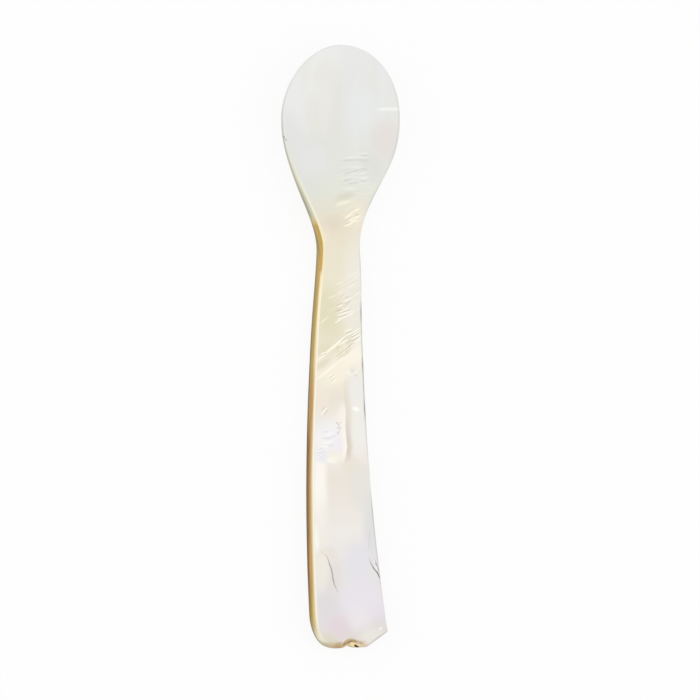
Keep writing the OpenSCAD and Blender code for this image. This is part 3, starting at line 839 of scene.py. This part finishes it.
RIGHT_STRETCHES = {"shaft": (34.0, 20.0, 0.9)}
GOLD_STRETCHES = {
    "middle": (-3.0, -18.0, 1.0), "butt": (-42.0, -48.0, 1.0), "corner": (-49.0, -53.0, 1.0),
    "turned": (-51.0, -53.0, 1.0), "foot": FOOT}
# The same over the distance from the ridge, the distance from the right edge and the flank's height
# On the ridge these place its painted highlight and its painted shade
RIDGE_SIDES = {"shoulder": (0.1, -0.1, "highlight_length"), "ridge_shade": (-0.05, 0.2, "ridge_length")}
RIGHT_FLANK = {"flank": (0.12, 0.06, "shaft")}
GROUND_BACK = {"ground": (0.08, 0.0, 1.0)}

# Coats of the nacre, for the function coats: colour, the value that it follows, where on it the coat
# starts and is whole, and its strength or the mask that it lies in
BAND_COATS = (("#e3e1d9", "bands", 0.52, 0.8, "bowl"), ("#eaebec", "bands", 0.48, 0.2, "bowl"))
# The bright and dark coats on the clusters of fine lines are partly painted highlight and shade of
# their steps
LINE_COATS = (
    ("#dad0b4", "fine", 0.46, 0.3, "clusters"), ("#fff9ea", "fine", 0.54, 0.7, "clusters"),
    ("#dbdbd6", "waves", 0.46, 0.34, "wave_patch"), ("#ededea", "waves", 0.54, 0.66, "wave_patch"),
    ("#c5c7da", "arcs", 0.5, 0.95, "arc_patch"), ("#fbfbff", "arcs", 0.45, 0.05, "arc_patch"))
FLAW_COATS = (
    # The ridge's pale coat is a painted highlight on its high side, its dark coat painted shade at its
    # foot
    ("#fdf5ec", "ridge", -1.3, -0.3, "shoulder"), ("#d2c5b2", "ridge", 1.7, 0.1, "ridge_shade"),
    ("#968c80", "left_crack", 0.31, 0.06, "left_length"),
    ("#56524e", "right_crack", 0.33, 0.06, "right_length"))
# On the left edge the grey and olive line of the bowl is partly painted shade of its flank and the pale
# band inside it a painted highlight; the cream of the handle's rounded edge is partly thin nacre over
# the gold and partly a painted highlight, and its dark outer half at the neck is painted shade
LEFT_COATS = (
    ("#a3a299", "left_gap", 0.24, 0.04, "line"), ("#f4f1dc", "left_gap", 1.0, 0.68, "olive"),
    ("#c6c3a6", "left_gap", 0.62, 0.16, "olive"), ("#8c876e", "left_gap", 0.12, 0.0, "olive"),
    ("#f9e7ba", "narrowed", 0.95, 0.55, "band"), ("#bb9c42", "narrowed", 0.46, 0.28, "band"),
    ("#c99d48", "narrowed", 0.42, 0.26, "orange"), ("#7d6a3c", "left_rim", 0.5, 1.0, "neck"),
    ("#f8efd6", "left_rim", 0.08, 0.26, "handle"), ("#f3e3c4", "left_rim", 0.25, 0.55, "handle"),
    ("#d3b88c", "left_rim", 0.5, 0.9, "handle"), ("#fdedc4", "left_rim", 0.2, 0.6, "cream"),
    ("#f5f0da", "left_rim", 0.0, 0.1, "low"), ("#ede3c2", "left_rim", 0.14, 0.4, "low"),
    ("#dac698", "left_rim", 0.4, 0.8, "low"), ("#e3dfd6", "left_rim", 0.0, 0.06, "corner"),
    ("#f2edcf", "left_rim", 0.3, 0.55, "corner"), ("#b4a582", "left_rim", 0.1, 0.45, "foot"))
RIGHT_COATS = (("#e6e0d0", "right_gap", 0.14, 0.06, "shaft"), ("#c9bda2", "layers", 0.5, 0.3, "flank"))
END_BROWN_COATS = (("#b9975a", "along", -53.9, -54.9, "end_brown"),)
WEAR_COATS = (("#dcc7a4", "worn", 0.1, 0.6, 0.85), ("#caa873", "worn", 0.4, 1.0, 0.8))
BACK_COATS = (("#e6e5dd", "back", 0.0, 1.0, 1.0), ("#d8d3c2", "bands", 0.5, 0.75, "back"),
              ("#c2ab74", "uneven", -4.0, 4.5, "back"))
# The brown towards the butt's end by its centre and size, and patches around and in the chip, with
# the columns of the soft patches and how far up its cone each one is whole. The last is a glint on
# the right corner.
BUTT_BROWN_OVAL = ((0.6, -54.9), (7.0, 2.4))
CHIP_BROWN_PATCHES = (
    ((-3.0, -54.4), (2.4, 0.9), 0, "#c2ab78", 0.7, 0.8),
    ((-0.3, -54.3), (1.6, 0.8), 0, "#b3976a", 0.6, 0.8),
    ((-0.2, -54.9), (2.6, 0.9), 0, "#b08d50", 0.75, 0.9),
    ((2.4, -54.8), (3.0, 1.4), 0, "#d3bb92", 0.6, 0.9),
)
CHIP_GOLD = (((4.2, -54.2), (1.3, 1.0), 0, "#e0bf90", 0.5, 0.8),)
CHIP_LIGHTS = (
    ((1.5, -54.8), (1.1, 0.4), 12, "#f1dcc4", 0.7, 0.8),
    ((2.7, -54.5), (1.0, 0.4), -25, "#f3dfa8", 1.0, 0.6),
)
CHIP_SPOTS = (
    (PIT, (0.6, 0.26), -35, "#3f2c10", 1.0, 0.6),
    ((7.9, -51.6), (0.5, 0.25), 35, "#ffffff", 0.7, 0.6),
)


def growth_tint(tree, along, drifted):
    """Tint of the growth zones along the spoon, with long soft bands in the bowl, three millimetres
    wide, and the soft patches laid over it."""
    half = SPOON_LEN / 2
    down = add(tree, "SeparateXYZ", {0: drifted}).outputs["Y"]
    down = add(tree, "MapRange", {"Value": down, "From Min": half, "From Max": -half}).outputs[0]
    stops = [((half - mm) / SPOON_LEN, code) for mm, code in (ZONES[0], ZONES[-1], *ZONES[1:-1])]
    tint = add(tree, "ValToRGB", {0: down}, stops).outputs[0]
    values = stretches(tree, along, BAND_STRETCHES)
    values["bands"] = grain(tree, drifted, *BOWL_BANDS).outputs["Fac"]
    tint = coats(tree, tint, BAND_COATS, values)
    soft = [(*row, PATCH_WHOLE) for row in BOWL_PATCHES + HANDLE_PATCHES + BUTT_PATCHES]
    return patches(tree, drifted, tint, soft)


def growth_lines(tree, place, drifted, tint):
    """Fine lines where the face cuts the growth layers at a slant: bright ones with dark gaps on
    the upper handle, partly painted highlight and shade of their fine steps, wavy ones across the
    bowl, and bluish arcs at the left edge. With the tint comes the height of the finest ones."""
    clusters = 0.0
    for centre, size, turn in CLUSTERS:
        one = oval(tree, place, centre, size, turn)
        clusters = add(tree, "Math", {0: one, 1: clusters}, operation="MAXIMUM").outputs[0]
    fine = grain(tree, place, *FINE_LINES).outputs["Fac"]
    arcs = add(tree, "Mapping", {"Vector": drifted, "Location": (*ARC_CENTRE, 0),
                                 "Scale": (ARC_GAP, ARC_GAP, DEEP)}, vector_type="TEXTURE")
    arcs = add(tree, "TexWave", {"Vector": arcs.outputs[0], "Scale": ONE_RING,
                                 "Distortion": ARC_DISTORTION},
               wave_type="RINGS", rings_direction="SPHERICAL")
    values = {"fine": fine, "clusters": clusters, "arcs": arcs.outputs["Fac"],
              "waves": grain(tree, drifted, *BOWL_WAVES).outputs["Fac"],
              "wave_patch": oval(tree, place, *WAVE_PATCH),
              "arc_patch": oval(tree, place, *ARC_PATCH)}
    tint = coats(tree, tint, LINE_COATS, values)
    tint = drawn(tree, drifted, tint, PALE_STROKES)
    tint = drawn(tree, place, tint, FACE_STROKES)
    tint = drawn(tree, place, tint, FINE_STROKES, FINE_WHOLE, FINE_REACH)
    height = add(tree, "Math", {0: fine, 1: clusters}, operation="MULTIPLY").outputs[0]
    return tint, height


def flaws(tree, place, along, tint):
    """Painted highlight on the high side of the ridge and painted shade at its foot, the two cracks
    near the butt with the right one's branch and glints, a faint line by the right edge, and a tick on
    the bowl's rim."""
    ridge = add(tree, "Attribute", attribute_name="ridge").outputs["Fac"]
    values = stretches(tree, along, FLAW_STRETCHES)
    values = stretches(tree, ridge, RIDGE_SIDES, values)
    values["ridge"] = ridge
    wander = grain(tree, place, *CRACK_WANDER).outputs["Fac"]
    for mark in ("left_crack", "right_crack"):
        gap = add(tree, "Attribute", attribute_name=mark).outputs["Fac"]
        gap = add(tree, "Math", {0: gap}, operation="ABSOLUTE").outputs[0]
        gap = add(tree, "Math", {0: wander, 1: CRACK_REACH, 2: gap}, operation="MULTIPLY_ADD")
        values[mark] = gap.outputs[0]
    tint = coats(tree, tint, FLAW_COATS, values)
    return drawn(tree, place, tint, FLAW_STROKES)


def left_edge(tree, along, tint):
    """A thin olive grey line along the bowl, partly the shell's olive and partly painted shade of its
    flank seen edge on, with a pale painted highlight inside it. On the handle cream that runs into the
    golden layer, orange at the neck and paler towards the butt: partly thin nacre over the gold and
    partly a painted highlight on the rounded edge, with painted shade on its outer half at the neck."""
    values = stretches(tree, along, LEFT_STRETCHES)
    for mark in ("left_rim", "left_gap"):
        values[mark] = add(tree, "Attribute", attribute_name=mark).outputs["Fac"]
    narrowed = add(tree, "Math", {0: values["left_gap"], 1: values["narrowing"]})
    values["narrowed"] = narrowed.outputs[0]
    return coats(tree, tint, LEFT_COATS, values)


def right_edge(tree, place, along, tint):
    """A thin grey line of painted shade along the rounded right edge, darker in places, and lines of
    growth on the flank beside it.
    """
    gap = add(tree, "Attribute", attribute_name="right_gap").outputs["Fac"]
    for centre, size, code in RIGHT_EDGE_SHADE:
        tint = coat(tree, tint, code, gap, *RIGHT_SHADE_GAPS, oval(tree, place, centre, size))
    values = stretches(tree, along, RIGHT_STRETCHES)
    values = stretches(tree, gap, RIGHT_FLANK, values)
    values.update(right_gap=gap, layers=layer_lines(tree, place))
    return coats(tree, tint, RIGHT_COATS, values)


def chip(tree, place, along, tint):
    """The chip at the butt, where the nacre is worn through to brown and gold: brown around its rim,
    with a dark arch of painted shade under its upper lip, bright stripes and a dark pit, and to its
    right a glint on the corner."""
    worn = add(tree, "Attribute", attribute_name="worn").outputs["Fac"]
    values = {"along": along, "worn": worn, "end_brown": oval(tree, place, *BUTT_BROWN_OVAL)}
    tint = coats(tree, tint, END_BROWN_COATS, values)
    tint = patches(tree, place, tint, CHIP_BROWN_PATCHES)
    tint = coats(tree, tint, WEAR_COATS, values)
    tint = patches(tree, place, tint, CHIP_GOLD)
    tint = drawn(tree, place, tint, ARCH_SHADE_STROKES, ARCH_WHOLE)
    tint = patches(tree, place, tint, CHIP_LIGHTS)
    tint = drawn(tree, place, tint, CRESCENT_STROKES)
    return patches(tree, place, tint, CHIP_SPOTS)


def bowl_back(tree, drifted, tint):
    """The back of the bowl: plain pale nacre in soft bands, which turns gold in uneven tongues
    before it meets the golden layer."""
    back, behind = [add(tree, "Attribute", attribute_name=mark).outputs["Fac"]
                    for mark in ("back", "behind")]
    bands = grain(tree, drifted, *BACK_BANDS).outputs["Fac"]
    uneven = add(tree, "Math", {0: bands, 1: GOLD_REACH, 2: behind}, operation="MULTIPLY_ADD")
    values = {"back": back, "bands": bands, "uneven": uneven.outputs[0]}
    return coats(tree, tint, BACK_COATS, values)


def mother_of_pearl():
    """Nacre, ground and polished: white to cream with soft zones of lavender, rose and green, and
    fine bright growth lines where the face cuts the layers at a slant, partly painted highlight and
    shade. Painted highlight and shade also lie along its left and right edges, on the ridge and in the
    chip. The gloss is that of a polished stone under a clear thin coat."""
    material, tree = new_material("polished_mother_of_pearl")
    place, along = places(tree)
    drifted = adrift(tree, place, *NACRE_DRIFT)
    tint = growth_tint(tree, along, drifted)
    tint, height = growth_lines(tree, place, drifted, tint)
    tint = flaws(tree, place, along, tint)
    tint = left_edge(tree, along, tint)
    tint = right_edge(tree, place, along, tint)
    tint = chip(tree, place, along, tint)
    tint = bowl_back(tree, drifted, tint)
    gloss = {"Roughness": 0.28, "Coat Weight": 0.3, "Coat Roughness": 0.1}
    shell_surface(tree, tint, height, relief=0.02, gloss=gloss)
    return material


# Colours up the golden flank at three places of the handle. The heights are shares of the whole flank,
# with the lowest and the highest colour first. The dark lowest colours are painted shade at the foot
# of the flank and the pale highest ones a painted highlight at its top; those between are its gold.
FLANK_HEIGHTS = (0.15, 0.9, 0.33, 0.47, 0.6, 0.7, 0.8)
FLANK_SHADED_COLOURS = {
    "neck": ("#8a7850", "#fbeac6", "#9f8b54", "#ae9653", "#ba9f58", "#d0b87c", "#f3deb0"),
    "middle": ("#4a3416", "#d9c293", "#6a4d20", "#8b652c", "#ac8449", "#c5a066", "#ceb17c"),
    "butt": ("#6d5226", "#e3d5a0", "#866528", "#a98b3d", "#b89c47", "#c8b367", "#d9c88c")}
# Warmer stretches of the flank: centre, half size across and along in mm, and colour. The heights at
# which they start and are whole are shares of the flank.
WARM_STRETCHES = (((-3.4, 14.6), (6.0, 5.0), "#cba15a"), ((-4.2, -10.4), (6.0, 7.0), "#bd8c52"),
                  ((-4.9, -40.1), (6.0, 6.6), "#c99a5e"))
WARM_HEIGHTS = (0.35, 0.6)
# Coats of the flank at the butt, which pale its top and darken its foot as painted shade, and then of
# the ground back and of the lines of growth
CORNER_COATS = (
    ("#c4b684", "flank", 0.2, 0.45, "corner"), ("#f0e8c6", "flank", 0.62, 0.8, "corner"),
    ("#ebe6d0", "flank", 0.34, 0.52, "turned"), ("#aa9c74", "flank", 0.15, 0.4, "foot"))
GROUND_COATS = (
    ("#ad9159", "streaks", 0.2, 0.5, "ground"), ("#c3aa72", "streaks", 0.5, 0.8, "ground"),
    ("#c2ab74", "behind", 5.0, 0.0, "ground"), ("#e0c592", "layers", 0.5, 0.75, 0.35),
    ("#8a6c3b", "layers", 0.5, 0.25, 0.35))


def golden_layer():
    """Golden shell layer under the nacre, ground and polished: tan on the middle of the handle and
    olive gold at both ends, darkened at the foot of the flank by painted shade and paled at its top by
    a painted highlight, with thin lines of growth along the spoon."""
    material, tree = new_material("polished_golden_shell")
    place, along = places(tree)
    flank, behind = [add(tree, "Attribute", attribute_name=mark).outputs["Fac"]
                     for mark in ("flank", "behind")]
    values = stretches(tree, along, GOLD_STRETCHES)
    values = stretches(tree, flank, GROUND_BACK, values)
    streaks = grain(tree, adrift(tree, place, *SHELL_DRIFT), *GROUND_STREAKS).outputs["Fac"]
    layers = layer_lines(tree, place)
    values.update(flank=flank, behind=behind, streaks=streaks, layers=layers)
    ramps = {part: add(tree, "ValToRGB", {0: flank}, zip(FLANK_HEIGHTS, codes)).outputs[0]
             for part, codes in FLANK_SHADED_COLOURS.items()}
    tint = ramps["neck"]
    for part in ("middle", "butt"):
        blend = {FACTOR: values[part], FIRST: tint, SECOND: ramps[part]}
        tint = add(tree, "Mix", blend, data_type="RGBA").outputs[BLENDED]
    tint = coats(tree, tint, CORNER_COATS, values)
    for centre, size, code in WARM_STRETCHES:
        tint = coat(tree, tint, code, flank, *WARM_HEIGHTS, oval(tree, place, centre, size))
    tint = coats(tree, tint, GROUND_COATS, values)
    gloss = {"Roughness": 0.4, "Specular IOR Level": 0.25}
    shell_surface(tree, tint, layers, relief=0.01, gloss=gloss)
    return material


# Brown of the rind and the coats over it
RIND_BROWN = "#533e22"
RIND_COATS = (("#6f5832", "bands", 0.35, 0.65, 1.0), ("#4b3820", "lines", 0.46, 0.3, 0.4),
              ("#8f774a", "rubbed", 0.5, 0.75, 0.5), ("#94794a", "thin", 4.0, 12.0, 1.0))


def brown_rind():
    """Outer skin of the shell, smoothed by the wheel: brown, with growth bands across it some three
    millimetres wide, faint fine lines in them, and paler places where it is rubbed thin."""
    material, tree = new_material("smoothed_shell_rind")
    place, along = places(tree)
    drifted = adrift(tree, place, *SHELL_DRIFT)
    rubbed = grain(tree, place, *RUBBED_PLACES).outputs["Fac"]
    thin = add(tree, "Math", {0: rubbed, 1: RUBBED_REACH, 2: along}, operation="MULTIPLY_ADD")
    values = {"bands": grain(tree, drifted, *RIND_BANDS).outputs["Fac"],
              "lines": grain(tree, drifted, *RIND_LINES).outputs["Fac"],
              "rubbed": rubbed, "thin": thin.outputs[0]}
    tint = coats(tree, colour(RIND_BROWN), RIND_COATS, values)
    shell_surface(tree, tint, values["lines"], relief=0.02, gloss={"Roughness": 0.45})
    return material


for piece, node, slot, material in ((nacre, "nacre_body", "nacre", mother_of_pearl()),
                                    (golden, "golden_layer", "golden_shell", golden_layer()),
                                    (rind, "brown_rind", "shell_rind", brown_rind())):
    piece.data.materials.append(material)
    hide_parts(node)
    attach(piece, "root")


def seen_white(tree):
    """1 for what the camera, a reflection or a view through glass sees, else 0."""
    path = add(tree, "LightPath").outputs
    seen = add(tree, "Math", {0: path["Is Camera Ray"], 1: path["Is Glossy Ray"]},
               operation="MAXIMUM")
    seen = add(tree, "Math", {0: seen.outputs[0], 1: path["Is Transmission Ray"]},
               operation="MAXIMUM")
    return seen.outputs[0]


# Side of the floor and its gap under the spoon in metres, and how much of its own white is seen
FLOOR_M, FLOOR_GAP, PAPER_GLOW = 3.0, 0.02 * MM, 0.9
# Light of the world on the spoon, where 1 is pure white
WORLD_LIGHT = 0.8
WHITE = colour("#ffffff")


def white_paper():
    """Matt white paper: no gloss and a faint soft shadow. Where it is seen it is nearly its own
    plain white, and it lights the spoon as paper does."""
    material, tree = new_material("white_paper")
    paper = add(tree, "BsdfDiffuse", {"Color": colour("#f4f4f4")})
    glow = add(tree, "Emission", {"Color": WHITE, "Strength": 1.0})
    seen = add(tree, "MapRange", {"Value": seen_white(tree), "To Max": PAPER_GLOW})
    white = add(tree, "MixShader", {0: seen.outputs[0], 1: paper.outputs[0], 2: glow.outputs[0]})
    add(tree, "OutputMaterial", {"Surface": white.outputs[0]})
    return material


def white_room():
    """World of even white light, pure white where it is seen."""
    world = bpy.data.worlds.new("white_room")
    world.use_nodes = True
    tree = world.node_tree
    tree.nodes.clear()
    strength = add(tree, "MapRange", {"Value": seen_white(tree), "To Min": WORLD_LIGHT,
                                      "To Max": 1.0})
    sky = add(tree, "Background", {"Color": WHITE, "Strength": strength.outputs[0]})
    add(tree, "OutputWorld", {"Surface": sky.outputs[0]})
    return world


bpy.ops.mesh.primitive_plane_add(size=FLOOR_M, location=(0, 0, -FLOOR_GAP))
floor = bpy.context.object
floor.name = "floor"
floor.data.materials.append(white_paper())
bpy.context.scene.world = white_room()

# Studio lamps: place and width in metres, power in watts
LAMPS = {"left_lamp": ((-0.55, 0.10, 0.32), 0.45, 0.9),
         "right_lamp": ((0.50, -0.15, 0.45), 0.5, 0.8)}


def soft_box(name, place, width, power):
    """A square studio lamp that faces the spoon."""
    lamp = bpy.data.lights.new(name, "AREA")
    lamp.size, lamp.energy = width, power
    stand = bpy.data.objects.new(name, lamp)
    stand.location = place
    stand.rotation_euler = (-Vector(place)).to_track_quat("-Z", "Y").to_euler()
    bpy.context.scene.collection.objects.link(stand)


for name, (place, width, power) in LAMPS.items():
    soft_box(name, place, width, power)

# Camera: 22 degrees to the left of straight above, with the tip up, as in the photograph. The scale
# of the picture holds at a height of 3 mm.
TILT = math.radians(22)
LENS, SENSOR = 180.0, 36.0
PIXELS, PIXELS_PER_MM = 700, 5.473
AIM, SCALE_HEIGHT = Vector((3.33 * MM, -0.61 * MM, 0)), 3 * MM
NEAREST, FARTHEST = 0.01, 20


def photo_camera():
    """Camera that looks at the spoon as the photograph does."""
    towards = Vector((-math.sin(TILT), 0, math.cos(TILT)))
    up = Vector((0, 1, 0))
    right = up.cross(towards)
    distance = PIXELS / PIXELS_PER_MM * MM * LENS / SENSOR + SCALE_HEIGHT
    camera = bpy.data.cameras.new("camera")
    camera.lens, camera.sensor_width = LENS, SENSOR
    camera.clip_start, camera.clip_end = NEAREST, FARTHEST
    stand = bpy.data.objects.new("camera", camera)
    stand.matrix_world = Matrix((right, up, towards)).transposed().to_4x4()
    stand.location = AIM + towards * distance
    bpy.context.scene.collection.objects.link(stand)
    return stand


bpy.context.scene.camera = photo_camera()
bpy.context.scene.view_settings.view_transform = "Standard"
